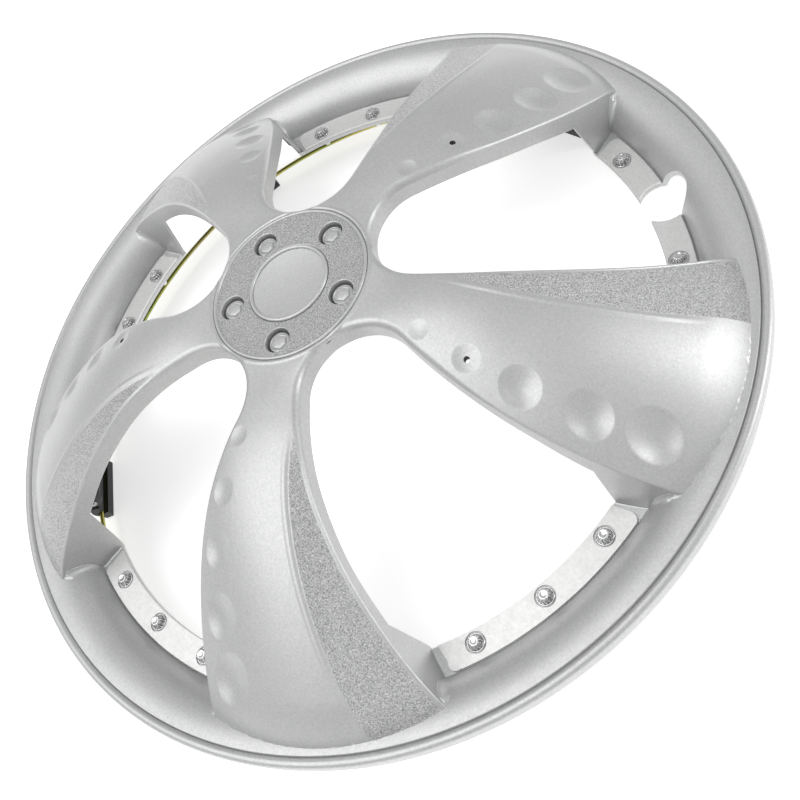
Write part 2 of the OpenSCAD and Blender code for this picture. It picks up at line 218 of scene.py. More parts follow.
def roll_at(x, y):
    """Radius of the rolled edge: generous near the hub, crisper further out."""
    return ROLL - (ROLL - CRISP) * ramp(np.hypot(x, y), 85, 125)


def rolled(x, y, extra=0.0):
    """Points and normals of the finished top, rolled down along the windows."""
    e = 0.05
    h = top(x, y)
    gx = (top(x + e, y) - top(x - e, y)) / (2 * e)
    gy = (top(x, y + e) - top(x, y - e)) / (2 * e)
    d, n = edge_distance(x, y)
    q = roll_at(x, y)
    s = np.clip((q - d) / q, 0, 1)
    c = np.sqrt(1 - s * s)
    z = h - q * (1 - c) - extra
    nrm = np.stack([-c * gx - s * n[..., 0], -c * gy - s * n[..., 1], np.maximum(c, 1e-3)], -1)
    nrm /= np.linalg.norm(nrm, axis=-1, keepdims=True)
    return np.stack([x, y, z], -1), nrm, d


def arc(c, r, a0, a1, step):
    n = max(3, int(abs(a1 - a0) * r / step) + 1)
    t = np.linspace(a0, a1, n)
    return c + polar(r, t)


def circle_at(c, r, n):
    return np.asarray(c) + polar(r, np.linspace(0, 2 * math.pi, n, endpoint=False))


def angle_of(p, c):
    q = np.asarray(p) - c
    return math.atan2(q[1], q[0])


def circle_meets(c, q, r, sign):
    """Angle at which the circle (c, q) meets radius r about the axis."""
    g = math.hypot(*c)
    v = (g * g + r * r - q * q) / (2 * g * r)
    return math.atan2(c[1], c[0]) + sign * math.acos(max(-1, min(1, v)))


def lean_at(r):
    """Slope of the side walls: nearly upright near the hub, leaning out towards the rim."""
    return np.tan((1.5 + 6.5 * ramp(r, 130, 160)) * RAD)


def edge_line(off, step=1.0):
    """The grain edge from its window's tip to the rim, and the plain edge, both moved off into the blade."""
    tip = END_A + math.pi
    a_end = angle_of(T1, END_1)
    a_end = a_end if a_end > tip else a_end + 2 * math.pi
    near = arc(END_1, END_R + off, tip, a_end, step)
    q = EDGE_R + off
    a0 = angle_of(T1, GRAIN_C)
    a1 = angle_of(polar(BLADE_FAR, circle_meets(GRAIN_C, q, BLADE_FAR, -1)), GRAIN_C)
    grain = np.concatenate([near, arc(GRAIN_C, q, a0, a1, step)[1:]])
    tip0 = END_A - TURN + math.pi
    a_end = angle_of(T0, END_0)
    while a_end > tip0:
        a_end -= 2 * math.pi
    near = arc(END_0, END_R + off, tip0, a_end, step)
    q = EDGE_R - off
    a0 = angle_of(T0, PLAIN_C)
    a1 = angle_of(polar(BLADE_FAR, circle_meets(PLAIN_C, q, BLADE_FAR, -1)), PLAIN_C)
    while a1 < a0 - math.pi:
        a1 += 2 * math.pi
    plain = np.concatenate([near, arc(PLAIN_C, q, a0, a1, step)[1:]])
    return grain, plain


# ---- gathering vertices and faces ----
class Mesh:
    """Vertices, normals, faces and a grain mask, gathered before they become one object."""

    def __init__(self):
        self.v, self.n, self.f, self.m, self.grain, self.count = [], [], [], [], [], 0

    def add(self, pts, nrm, faces, mat=0, grain=None):
        pts = np.asarray(pts, float).reshape(-1, 3)
        nrm = np.asarray(nrm, float).reshape(-1, 3)
        self.v.append(pts)
        self.n.append(nrm)
        self.grain.append(np.zeros(len(pts)) if grain is None else np.asarray(grain, float).ravel())
        self.f += [tuple(int(i) + self.count for i in f) for f in faces]
        self.m += [mat] * len(faces)
        self.count += len(pts)

    def grid(self, rows, nrm, mat=0, closed=False):
        """rows is (a, b, 3); faces run between neighbouring rows and columns."""
        a, b = rows.shape[:2]
        faces = []
        for i in range(a - 1):
            for j in range(b if closed else b - 1):
                k = (j + 1) % b
                faces.append((i * b + j, i * b + k, (i + 1) * b + k, (i + 1) * b + j))
        self.add(rows, nrm, faces, mat)

    def join(self, other):
        self.f += [tuple(i + self.count for i in f) for f in other.f]
        self.m += other.m
        self.v += other.v
        self.n += other.n
        self.grain += other.grain
        self.count += other.count

    def object(self, name, materials):
        v = np.concatenate(self.v) / 1000
        v[:, 2] += RIM_H / 1000
        n = np.concatenate(self.n)
        me = bpy.data.meshes.new(name)
        me.from_pydata(v.tolist(), [], self.f)
        for m in materials:
            me.materials.append(m)
        me.polygons.foreach_set("material_index", self.m)
        me.polygons.foreach_set("use_smooth", [True] * len(self.f))
        at = me.attributes.new("grain", "FLOAT", "POINT")
        at.data.foreach_set("value", np.concatenate(self.grain).astype(np.float32))
        # turn the faces that look away from their vertices' normals
        me.update()
        flip = []
        for p in me.polygons:
            s = sum((Vector(n[i]) for i in p.vertices), Vector())
            if p.normal.dot(s) < 0:
                flip.append(p.index)
        if flip:
            bm = bmesh.new()
            bm.from_mesh(me)
            bm.faces.ensure_lookup_table()
            bmesh.ops.reverse_faces(bm, faces=[bm.faces[i] for i in flip])
            bm.to_mesh(me)
            bm.free()
        me.normals_split_custom_set_from_vertices(n.tolist())
        me.update()
        return linked(name, me)


def turned(mesh, a):
    """A copy of a mesh, turned about the axis."""
    out = Mesh()
    v, n = np.concatenate(mesh.v), np.concatenate(mesh.n)
    v[:, :2], n[:, :2] = spin(v[:, :2], a), spin(n[:, :2], a)
    out.v, out.n, out.grain = [v], [n], [np.concatenate(mesh.grain)]
    out.f, out.m, out.count = list(mesh.f), list(mesh.m), mesh.count
    return out


def linked(name, data):
    """A new object in the scene."""
    o = bpy.data.objects.new(name, data)
    bpy.context.scene.collection.objects.link(o)
    return o


def triangulate(outer, holes, inside):
    """Delaunay triangles of the region, with the outline and holes kept as edges."""
    pts = [tuple(p) for p in outer]
    edges = [(i, (i + 1) % len(outer)) for i in range(len(outer))]
    for h in holes:
        k = len(pts)
        pts += [tuple(p) for p in h]
        edges += [(k + i, k + (i + 1) % len(h)) for i in range(len(h))]
    pts += [tuple(p) for p in inside]
    out = delaunay_2d_cdt([Vector(p) for p in pts], edges, [], 0, 1e-5)
    v = np.array([tuple(p) for p in out[0]])
    f = np.array([tuple(t) for t in out[2]])
    mid = v[f].mean(1)

    def within(poly, q):
        """Which of the points q lie inside the outline poly."""
        x, y = q[:, 0], q[:, 1]
        res = np.zeros(len(q), bool)
        n = len(poly)
        for i in range(n):
            (x0, y0), (x1, y1) = poly[i], poly[(i + 1) % n]
            hit = ((y0 > y) != (y1 > y))
            with np.errstate(divide="ignore", invalid="ignore"):
                res ^= hit & (x < (x1 - x0) * (y - y0) / (y1 - y0 if y1 != y0 else 1e-12) + x0)
        return res

    keep = within(outer, mid)
    for h in holes:
        keep &= ~within(h, mid)
    return v, f[keep]


def lip_z(r, roll=LIP_ROLL, low=LEDGE_Z):
    """Height of the round lip at radius r, flat at the ledge."""
    z = -LIP_ROLL + np.sqrt(np.maximum(roll ** 2 - np.clip(LIP_R - r, 0, roll) ** 2, 0))
    return np.maximum(z, low)


# ---- one blade ----
def blade_points(tie):
    """Plan points of a blade's top: dense along edges, beads and dimples, with an even bulk between them."""
    rows = []
    for off in (0.04, 0.15, 0.32, 0.55, 0.82, 1.1, 1.35, 1.6, 1.9, 2.4, 3.2):
        a, b = edge_line(off)
        rows += [a[2:], b[2:]]
    for off in (2.8, 3.8, 5.0, 6.0):
        a, b = edge_line(off, 1.2)
        rows += [a[3:-1], b[3:-1]]
    for off in (-3.0, -2.5, -2.1, -1.8, -1.5, -1.2, -0.9, -0.6, -0.3, 0.0, 0.4, 0.8, 1.2, 1.6, 1.9, 2.5, 3.5):
        rows.append(arc(BAND_C, BAND_R + off, -1.8, -0.9, 1.0))
    for r in np.arange(SEAT_R + 0.3, SEAT_R + 2.8, 0.3):
        rows.append(arc(AXIS, r, END_A - TURN + 0.004, END_A - 0.004, 0.8))
    for i, (dr, da, rad, deep) in enumerate(DIMPLES):
        c = polar(dr, da * RAD)
        for t in np.arange(0.08, 1.12, 0.08):
            if tie and i == TIED and t * rad < 2.2:
                continue
            k = max(8, int(2 * math.pi * t * rad / 0.9))
            rows.append(c + polar(t * rad, np.linspace(0, 2 * math.pi, k, endpoint=False) + t))
        if tie and i == TIED:
            rows.append(circle_at(c, TIE_R + 0.35, 28))
    g = 2.2
    gx, gy = np.meshgrid(np.arange(30, 202, g), np.arange(-75, 75, g * 0.866))
    gx = gx + (np.arange(gx.shape[0]) % 2)[:, None] * g / 2
    bulk = np.stack([gx.ravel(), gy.ravel()], -1)
    fine = np.concatenate(rows)
    points = np.concatenate([fine, bulk])
    x, y = points.T
    r, a = np.hypot(x, y), np.arctan2(y, x)
    d, _ = edge_distance(x, y)
    ok = (r > SEAT_R + 0.3) & (r < BLADE_END - 0.4) & (d > 0.05)
    ok &= (a < END_A - 0.002) & (a > END_A - TURN + 0.002)
    is_bulk = np.arange(len(points)) >= len(fine)
    ok &= ~(is_bulk & (d < 6.6))
    ok &= ~(is_bulk & (np.abs(band_distance(x, y)) < 4.2) & (r > 66))
    for i, (dr, da, rad, deep) in enumerate(DIMPLES):
        c = polar(dr, da * RAD)
        q = np.hypot(x - c[0], y - c[1])
        ok &= ~(is_bulk & (q < rad * 1.16))
        if tie and i == TIED:
            ok &= q >= TIE_R + 0.05
    return uncrowded(points[ok])


def uncrowded(points, size=0.12):
    """The points without those that share a small square with an earlier one."""
    taken = set()
    keep = []
    for i, p in enumerate(points):
        square = (int(p[0] / size), int(p[1] / size))
        if square not in taken:
            taken.add(square)
            keep.append(i)
    return points[keep]


def side_wall(m, line, inner):
    """A blade's wall along one window edge, its rounded bottom edge, and the black inner side."""
    r = np.hypot(line[:, 0], line[:, 1])
    p, _, _ = rolled(line[:, 0], line[:, 1])
    _, n = edge_distance(line[:, 0], line[:, 1])
    z0 = np.where(r > 185, np.maximum(p[:, 2], lip_z(r) - 1.0), p[:, 2])
    foot = top(line[:, 0], line[:, 1]) - FLANGE
    foot = np.where(r < 158.6, foot, foot + (-19.4 - foot) * ramp(r, 157, 165.5))
    foot = np.where(r > 164.5, lip_z(r) - 1.2, foot)
    foot = np.minimum(foot, z0 - 0.01)
    lean = lean_at(r)
    steps = 7
    wall, wall_n = [], []
    for i in range(steps):
        z = z0 + (foot - z0) * i / (steps - 1)
        out = (z0 - z) * lean
        wall.append(np.stack([line[:, 0] - n[:, 0] * out, line[:, 1] - n[:, 1] * out, z], -1))
        wall_n.append(np.stack([-n[:, 0], -n[:, 1], lean], -1))
    wall, wall_n = np.array(wall), np.array(wall_n)
    wall_n /= np.linalg.norm(wall_n, axis=-1, keepdims=True)
    m.grid(wall, wall_n, 0)
    bottom, bottom_n = [], []
    one = np.ones(len(r))
    for a in (0, 45, 90, 135, 180):
        s, c = math.sin(a * RAD), math.cos(a * RAD)
        across = WALL / 2 * (1 - c)
        bottom.append(wall[-1] + np.stack([n[:, 0] * across, n[:, 1] * across, -0.8 * s * one], -1))
        bottom_n.append(np.stack([-n[:, 0] * c, -n[:, 1] * c, -s * one - 1e-3], -1))
    m.grid(np.array(bottom), np.array(bottom_n), 0)
    high, _, _ = rolled(inner[:, 0], inner[:, 1], ROOF)
    if len(inner) != len(line):
        u = np.linspace(0, 1, len(line)) * (len(inner) - 1)
        high = np.stack([np.interp(u, np.arange(len(inner)), high[:, j]) for j in range(3)], -1)
    m.grid(np.array([bottom[-1], high]), np.array([np.stack([n[:, 0], n[:, 1], 0 * r], -1)] * 2), 1)


def blade(tie):
    """Blade 0's top, underside and side walls, with or without its tie hole."""
    m = Mesh()
    grain, plain = edge_line(0.0)
    hub = arc(AXIS, SEAT_R, END_A, END_A - TURN, 0.8)
    rim_a = math.atan2(grain[-1][1], grain[-1][0]), math.atan2(plain[-1][1], plain[-1][0])
    far = arc(AXIS, BLADE_END, rim_a[0] + 0.004, rim_a[1] - 0.004, 1.5)
    outer = np.concatenate([grain, far, plain[::-1], hub[::-1]])
    site = polar(DIMPLES[TIED][0], DIMPLES[TIED][1] * RAD)
    holes = [circle_at(site, TIE_R, 28)] if tie else []
    v, f = triangulate(outer, holes, blade_points(tie))
    p3, nrm, d = rolled(v[:, 0], v[:, 1])
    m.add(p3, nrm, f, 0, grain_mask(v[:, 0], v[:, 1]))
    low, low_n, _ = rolled(v[:, 0], v[:, 1], ROOF)
    within = d >= WALL - 0.02
    m.add(low, -low_n, [t for t in f if within[t].all()], 1)
    for line, inner in zip(edge_line(0.0), edge_line(WALL)):
        side_wall(m, line, inner)
    for hole in holes:
        ring, _, _ = rolled(hole[:, 0], hole[:, 1])
        o = (site - hole) / TIE_R
        nn = np.stack([o[:, 0], o[:, 1], 0 * o[:, 0]], -1)
        m.grid(np.array([ring, ring - [0, 0, 2.7]]), np.array([nn, nn]), 1, closed=True)
    return m


# ---- ledge and lip of one window ----
def wall_height(r, side):
    """Height of a side wall of window 0 over the lip, at radius r."""
    c = GRAIN_C if side == 0 else PLAIN_C
    p = polar(r, circle_meets(c, EDGE_R, r, -1))
    return float(top(p[0], p[1]) - roll_at(p[0], p[1]) - lip_z(r))


def wall_angles(r, z, back=0.0):
    """Angles of the two side walls of window 0, at radius r and height z, moved back into the blades."""
    out = []
    for c, way in ((GRAIN_C, 1), (spin(PLAIN_C, TURN), -1)):
        p = polar(r, circle_meets(c, EDGE_R, r, -1))
        q = p if way == 1 else spin(p, -TURN)
        h = float(top(q[0], q[1])) - ROLL
        off = max(0.0, (h - z) * float(lean_at(r))) - back
        out.append(circle_meets(c, EDGE_R - off * way, r, -1))
    return out


def tuck(r):
    """How far the lip runs on behind the side walls: most at the rim, where a blade's corner thins out."""
    return 2.6 + 24.0 * ramp(r, 188, 194)


def notched(a0, a1, centre):
    """The ledge's front edge from angle a0 to a1, with the valve notch bitten out of it."""
    far = circle_meets(centre, NOTCH_R, LEDGE_R, 1)
    near = 2 * NOTCH_A - far
    start = angle_of(polar(LEDGE_R, near), centre)
    end = angle_of(polar(LEDGE_R, far), centre)
    end = end if end > start else end + 2 * math.pi
    return np.concatenate([arc(AXIS, LEDGE_R, a0, far, 1.6)[1:-1], arc(centre, NOTCH_R, end, start, 0.7),
                           arc(AXIS, LEDGE_R, near, a1, 1.6)[1:-1]])


def fillet_heights():
    """A function that gives the front's height anywhere in window 0, with the fillets up its side walls."""
    radii = np.linspace(LEDGE_R - 0.5, LIP_FAR + 0.5, 90)
    walls = np.array([wall_angles(q, float(lip_z(q))) for q in radii])
    highs = [np.array([wall_height(q, side) for q in radii]) for side in (0, 1)]

    def surface(x, y):
        r, a = np.hypot(x, y), np.arctan2(y, x)
        z = lip_z(r)
        for k, high in enumerate(highs):
            d = (a - np.interp(r, radii, walls[:, k])) * r * (1 - 2 * k)
            q = 0.7 + 3.3 * ramp(r, LIP_NEAR + 0.5, LIP_NEAR + 3.5)
            q = np.maximum(np.minimum(q, 0.8 * np.interp(r, radii, high)), 0.05)
            s = np.clip((q - d) / q, 0, 0.995)
            z = z + q * (1 - np.sqrt(1 - s * s))
        return z

    return surface


def unit(n):
    return n / np.maximum(np.linalg.norm(n, axis=-1, keepdims=True), 1e-9)


def ledge(notch):
    """Ledge and lip between the two side walls of window 0, with a fillet up each wall."""
    m = Mesh()
    radii = np.concatenate([np.linspace(LEDGE_R, LIP_NEAR, 10),
                            LIP_NEAR + np.linspace(0.4, LIP_FAR - LIP_NEAR, 36)])
    ends = [wall_angles(r, float(lip_z(r)), tuck(r)) for r in radii]
    left, right = [np.array([polar(r, a[side]) for r, a in zip(radii, ends)]) for side in (0, 1)]
    back = arc(AXIS, LIP_FAR, angle_of(left[-1], AXIS), angle_of(right[-1], AXIS), 1.6)[1:-1]
    a_left, a_right = angle_of(left[0], AXIS), angle_of(right[0], AXIS)
    centre = polar(NOTCH_D, NOTCH_A)
    if notch:
        front = notched(a_right, a_left, centre)
    else:
        front = arc(AXIS, LEDGE_R, a_right, a_left, 1.6)[1:-1]
    outer = np.concatenate([left, back, right[::-1], front])
    inside = []
    for r in np.concatenate([np.linspace(LEDGE_R + 0.8, LIP_NEAR, 9),
                             LIP_NEAR + np.linspace(0.4, LIP_FAR - LIP_NEAR - 0.2, 34)]):
        w = wall_angles(r, float(lip_z(r)), tuck(r))
        offs = np.array([0.4, 0.8, 1.1, 1.4, 1.8, 2.3, 3.0, 3.8, 4.8]) / r
        mid = np.linspace(w[0] + 6.2 / r, w[1] - 6.2 / r, 60)
        inside.append(polar(r, np.concatenate([w[0] + offs, mid, w[1] - offs])))
    inside = np.concatenate(inside)
    if notch:
        inside = inside[np.hypot(*(inside - centre).T) > NOTCH_R + 0.5]
    v, f = triangulate(outer, [], inside)
    x, y = v[:, 0], v[:, 1]
    surface = fillet_heights()
    e = 0.04
    gx = (surface(x + e, y) - surface(x - e, y)) / (2 * e)
    gy = (surface(x, y + e) - surface(x, y - e)) / (2 * e)
    m.add(np.stack([x, y, surface(x, y)], -1), unit(np.stack([-gx, -gy, np.ones(len(x))], -1)), f, 0)
    under = (LIP_ROLL - SKIN, LEDGE_Z - SKIN)
    r = np.hypot(x, y)
    slope = (lip_z(r + e, *under) - lip_z(r - e, *under)) / (2 * e)
    n = unit(np.stack([slope * x / r, slope * y / r, -np.ones(len(x))], -1))
    m.add(np.stack([x, y, lip_z(r, *under)], -1), n, f, 1)
    # close the gap between the two along the outline: silver in front, black behind the walls and the rim
    round_way = np.sign(np.cross(outer, np.roll(outer, -1, axis=0)).sum())
    silver = np.concatenate([right[:1], front, left[:1]])
    black = np.concatenate([left, back, right[::-1]])
    for mat, edge in enumerate((silver, black)):
        high = surface(edge[:, 0], edge[:, 1])
        low = lip_z(np.hypot(edge[:, 0], edge[:, 1]), *under)
        along = np.gradient(edge, axis=0)
        n = unit(round_way * np.stack([along[:, 1], -along[:, 0], 0 * high], -1))
        m.grid(np.array([np.column_stack([edge, high]), np.column_stack([edge, low])]), np.array([n, n]), mat)
    return m


# ---- rim, a body of revolution ----
def revolve(mesh, prof, normals, mat, n=720):
    a = np.linspace(0, 2 * math.pi, n, endpoint=False)
    rows = np.array([np.stack([r * np.cos(a), r * np.sin(a), z + 0 * a], -1) for r, z in prof])
    nr = np.array([np.stack([q[0] * np.cos(a), q[0] * np.sin(a), q[1] + 0 * a], -1) for q in normals])
    mesh.grid(rows, nr, mat, closed=True)


def soft_profile(pts, radius=0.35, steps=5):
    """Polyline with its corners rounded; returns points and normals, to the left of travel."""
    pts = [np.array(p, float) for p in pts]
    out = [pts[0]]
    for i in range(1, len(pts) - 1):
        a, b, c = pts[i - 1], pts[i], pts[i + 1]
        u, w = a - b, c - b
        k = min(radius, np.linalg.norm(u) * 0.45, np.linalg.norm(w) * 0.45)
        p, q = b + u / np.linalg.norm(u) * k, b + w / np.linalg.norm(w) * k
        for t in np.linspace(0, 1, steps):
            out.append((1 - t) ** 2 * p + 2 * t * (1 - t) * b + t * t * q)
    out.append(pts[-1])
    out = np.array(out)
    t = np.gradient(out, axis=0)
    n = np.stack([-t[:, 1], t[:, 0]], -1)
    n /= np.linalg.norm(n, axis=-1, keepdims=True)
    return out, n


def lip_arc(roll, a0, a1):
    """Profile of the round lip between two angles, for the front's radius or the back's."""
    return [(LIP_R - roll * math.cos(t), roll * math.sin(t) - LIP_ROLL) for t in np.linspace(a0, a1, 12)]


def rim():
    """The round part outside the windows: lip, groove, bead and the outer turned-in edge."""
    m = Mesh()
    back_roll = LIP_ROLL - SKIN
    front = lip_arc(LIP_ROLL, math.acos((LIP_R - LIP_FAR) / LIP_ROLL), math.pi / 2)
    groove = [(201.7, -0.02), (202.25, -1.1), (202.7, -1.15)]
    bead = [(204.6 + 2.4 * math.cos(t), -1.8 + 2.4 * math.sin(t)) for t in np.linspace(158 * RAD, 0, 22)]
    pts, n = soft_profile(front + groove + bead + [(207.0, -5.9)], 0.3)
    revolve(m, pts, n, 0)
    edge = [(207.0, -5.9), (206.4, -6.0), (204.9, -6.0), (204.6, -5.4), (204.6, -3.7), (202.0, -3.5),
            (200.4, -2.45)]
    back = lip_arc(back_roll, math.pi / 2, math.acos((LIP_R - LIP_FAR) / back_roll))[1:]
    pts, n = soft_profile(edge + back + [front[0]], 0.3)
    revolve(m, pts, n, 1)
    return m


# ---- hub seat: the shelf behind the hub plate, and the wall up to the blades' tops ----
def slab(outer, holes, low, high, mats=(0, 1)):
    """A flat plate with square edges, from plan outlines."""
    m = Mesh()
    v, f = triangulate(outer, holes, [])
    up = np.tile([0.0, 0.0, 1.0], (len(v), 1))
    m.add(np.column_stack([v, np.full(len(v), high)]), up, f, mats[0])
    m.add(np.column_stack([v, np.full(len(v), low)]), -up, f, mats[1])
    for loop, sign in [(outer, 1)] + [(h, -1) for h in holes]:
        c = loop.mean(0)
        n = (loop - c) / np.linalg.norm(loop - c, axis=1, keepdims=True) * sign
        n3 = np.column_stack([n, np.zeros(len(n))])
        rows = [np.column_stack([loop, np.full(len(loop), z)]) for z in (high, low)]
        m.grid(np.array(rows), np.array([n3, n3]), mats[1], closed=True)
    return m


def hub_seat():
    """The shelf with holes for the pits and screws, and the wall round the plate."""
    m = Mesh()
    holes = [circle_at(c, PIT_OUT + 0.25, 40) for c in LUGS] + [circle_at(c, SCREW_HOLE, 16) for c in SCREWS]
    holes.append(circle_at(AXIS, SHELF_IN, 90))
    m.join(slab(circle_at(AXIS, SHELF_OUT, 200), holes, SEAT_Z - SKIN, SEAT_Z))
    a = np.linspace(END_A - TURN, END_A, 49)[:-1]
    near, _, _ = rolled(*polar(SEAT_R, a).T)
    a = np.concatenate([a + k * TURN for k in range(BLADES)])
    high = np.column_stack([polar(SEAT_R, a), np.tile(near[:, 2], BLADES)])
    low = np.column_stack([polar(SEAT_R, a), np.full(len(a), SEAT_Z - 0.1)])
    n = np.column_stack([-polar(1.0, a), np.zeros(len(a))])
    m.grid(np.array([high, low]), np.array([n, n]), 0, closed=True)
    return m


def tower_block(m, x0, x1, y0, y1, low):
    """A block from height low up into the blade's top."""
    corners = [spin(c, TOWER_A) for c in ((x0, y0), (x1, y0), (x1, y1), (x0, y1))]
    v = np.array([(*c, low) for c in corners] + [(*c, float(top(*c)) - 2.0) for c in corners])
    for f in ((0, 1, 5, 4), (1, 2, 6, 5), (2, 3, 7, 6), (3, 0, 4, 7), (3, 2, 1, 0), (4, 5, 6, 7)):
        w = v[list(f)]
        n = np.cross(w[1] - w[0], w[2] - w[0])
        m.add(w, np.tile(n / np.linalg.norm(n), (4, 1)), [(0, 1, 2, 3)], 1)


def towers():
    """Two ears and a web behind each blade, which hold the clip's pin."""
    m = Mesh()
    half = EAR / 2
    for s in (-1, 1):
        y = s * (CLIP_HALF + PLAY + half)
        tower_block(m, PIN_R - EAR_R, PIN_R + EAR_R, y - half, y + half, PIN_Z)
        around = [(math.cos(t), math.sin(t)) for t in np.linspace(-math.pi, 0, 17)]
        faces = []
        for side in (-1, 1):
            w = [(*spin((PIN_R + EAR_R * c, y + half * side), TOWER_A), PIN_Z + EAR_R * d) for c, d in around]
            n = np.tile([*spin((0, side), TOWER_A), 0.0], (len(w), 1))
            m.add(w, n, [tuple(range(len(w)))], 1)
            faces.append(w)
        out = [(*spin((c, 0), TOWER_A), d) for c, d in around]
        m.grid(np.array(faces), np.array([out, out]), 1)
    tower_block(m, 172.0, 175.0, -17.8, 17.8, -19)
    return m


# ---- materials ----
class Shader:
    """A small wrapper that builds a node tree line by line."""

    def __init__(self, name):
        self.mat = bpy.data.materials.new(name)
        self.mat.use_nodes = True
        self.tree = self.mat.node_tree
        self.bsdf = self.tree.nodes["Principled BSDF"]
        self.at = self.node("ShaderNodeTexCoord").outputs["Object"]

    def node(self, kind, **values):
        n = self.tree.nodes.new(kind)
        for key, v in values.items():
            setattr(n, key, v)
        return n

    def link(self, a, b):
        self.tree.links.new(a, b)

    def noise(self, scale, detail=3.0, rough=0.6):
        n = self.node("ShaderNodeTexNoise")
        self.link(self.at, n.inputs["Vector"])
        n.inputs["Scale"].default_value = scale
        n.inputs["Detail"].default_value = detail
        n.inputs["Roughness"].default_value = rough
        return n.outputs["Fac"]

    def cells(self, scale, feature="F1"):
        n = self.node("ShaderNodeTexVoronoi", feature=feature)
        self.link(self.at, n.inputs["Vector"])
        n.inputs["Scale"].default_value = scale
        return n

    def map(self, value, a, b, c, d):
        n = self.node("ShaderNodeMapRange")
        self.link(value, n.inputs["Value"])
        for key, v in zip(("From Min", "From Max", "To Min", "To Max"), (a, b, c, d)):
            n.inputs[key].default_value = v
        return n.outputs["Result"]

    def math(self, op, a, b):
        n = self.node("ShaderNodeMath", operation=op)
        for k, v in enumerate((a, b)):
            if isinstance(v, (int, float)):
                n.inputs[k].default_value = v
            else:
                self.link(v, n.inputs[k])
        return n.outputs["Value"]

    def mix(self, fac, a, b):
        n = self.node("ShaderNodeMix", data_type="RGBA")
        for k, v in ((0, fac), (6, a), (7, b)):
            if isinstance(v, (int, float)):
                n.inputs[k].default_value = v
            elif isinstance(v, tuple):
                n.inputs[k].default_value = (*v, 1)
            else:
                self.link(v, n.inputs[k])
        return n.outputs[2]

    def bump(self, height, distance, strength, under=None):
        n = self.node("ShaderNodeBump")
        n.inputs["Distance"].default_value = distance
        if isinstance(strength, (int, float)):
            n.inputs["Strength"].default_value = strength
        else:
            self.link(strength, n.inputs["Strength"])
        self.link(height, n.inputs["Height"])
        if under is not None:
            self.link(under, n.inputs["Normal"])
        return n.outputs["Normal"]

    def set(self, **values):
        for key, v in values.items():
            s = self.bsdf.inputs[key.replace("_", " ")]
            if isinstance(v, (int, float)):
                s.default_value = v
            elif isinstance(v, tuple):
                s.default_value = (*v, 1)
            else:
                self.link(v, s)
        return self.mat


def silver_paint(name, grained=None, bright=1.0):
    """Metallic silver paint over moulded plastic: fine flake, faint mottle, and coarse grain where asked,
    with painted shade in its pits and painted highlight on its tops.
    """
    s = Shader(name)
    flake = s.cells(2600)
    tone = s.map(s.noise(900, 2, 0.7), 0.3, 0.7, -0.05, 0.05)
    cloud = s.map(s.noise(28, 3, 0.5), 0.3, 0.7, -0.018, 0.018)
    spark = s.map(flake.outputs["Color"], 0, 1, -0.045, 0.045)
    level = s.math("ADD", s.math("ADD", tone, cloud), spark)
    low = tuple(bright * c for c in (0.44, 0.445, 0.445))
    high = tuple(min(1, bright * c) for c in (0.66, 0.665, 0.66))
    colour = s.mix(s.map(level, -0.14, 0.14, 0, 1), low, high)
    rough = s.map(level, -0.14, 0.14, 0.48, 0.38)
    fine = s.bump(s.noise(1500, 3, 0.7), 0.00006, 0.45)
    if grained is None:
        return s.set(Base_Color=colour, Metallic=0.72, Roughness=rough, Normal=fine, Coat_Weight=0.12,
                     Coat_Roughness=0.18)
    mask = s.node("ShaderNodeAttribute", attribute_name=grained).outputs["Fac"]
    pits = s.noise(1700, 3, 0.6)
    lumps = s.cells(1350, "SMOOTH_F1").outputs["Distance"]
    height = s.math("ADD", s.map(pits, 0.3, 0.7, 0, 1), s.map(lumps, 0, 0.8, 0.6, 0))
    grain = s.bump(height, 0.0004, s.math("MULTIPLY", mask, 0.9), fine)
    # painted shade and highlight: the grain's pits get a darker colour and its tops a lighter one, following
    # the grain's height
    grain_painted_shade = s.mix(s.map(height, 0.4, 1.2, 0, 1), tuple(0.75 * c for c in low), tuple(1.12 * c for c in high))
    colour = s.mix(mask, colour, grain_painted_shade)
    return s.set(Base_Color=colour, Metallic=0.7, Roughness=rough, Normal=grain)


def black_plastic(name, tint=(0.018, 0.018, 0.019)):
    """Unpainted moulding with faint flow marks."""
    s = Shader(name)
    light = tuple(2.2 * c for c in tint)
    colour = s.mix(s.map(s.noise(60, 4, 0.6), 0.35, 0.7, 0, 1), tint, light)
    flow = s.bump(s.noise(380, 3, 0.6), 0.00012, 0.35)
    return s.set(Base_Color=colour, Roughness=s.map(s.noise(120, 3), 0.3, 0.7, 0.42, 0.6), Normal=flow)


def strip_white(name):
    """The bolt strips' pale satin finish."""
    s = Shader(name)
    colour = s.mix(s.map(s.noise(700, 3), 0.3, 0.7, 0, 1), (0.66, 0.665, 0.655), (0.76, 0.765, 0.755))
    skin = s.bump(s.noise(900, 3, 0.6), 0.00005, 0.4)
    rough = s.map(s.noise(300), 0.3, 0.7, 0.36, 0.46)
    return s.set(Base_Color=colour, Metallic=0.6, Roughness=rough, Normal=skin)


def metal(name, low, high, rough):
    """Bare or plated metal whose colour and roughness drift between two values."""
    s = Shader(name)
    scale = 400
    colour = s.mix(s.map(s.noise(scale, 4, 0.6), 0.3, 0.7, 0, 1), low, high)
    skin = s.bump(s.noise(scale * 2, 3, 0.6), 0.00004, 0.5)
    drift = s.map(s.noise(scale / 3, 3), 0.3, 0.7, *rough)
    return s.set(Base_Color=colour, Metallic=1.0, Roughness=drift, Normal=skin)


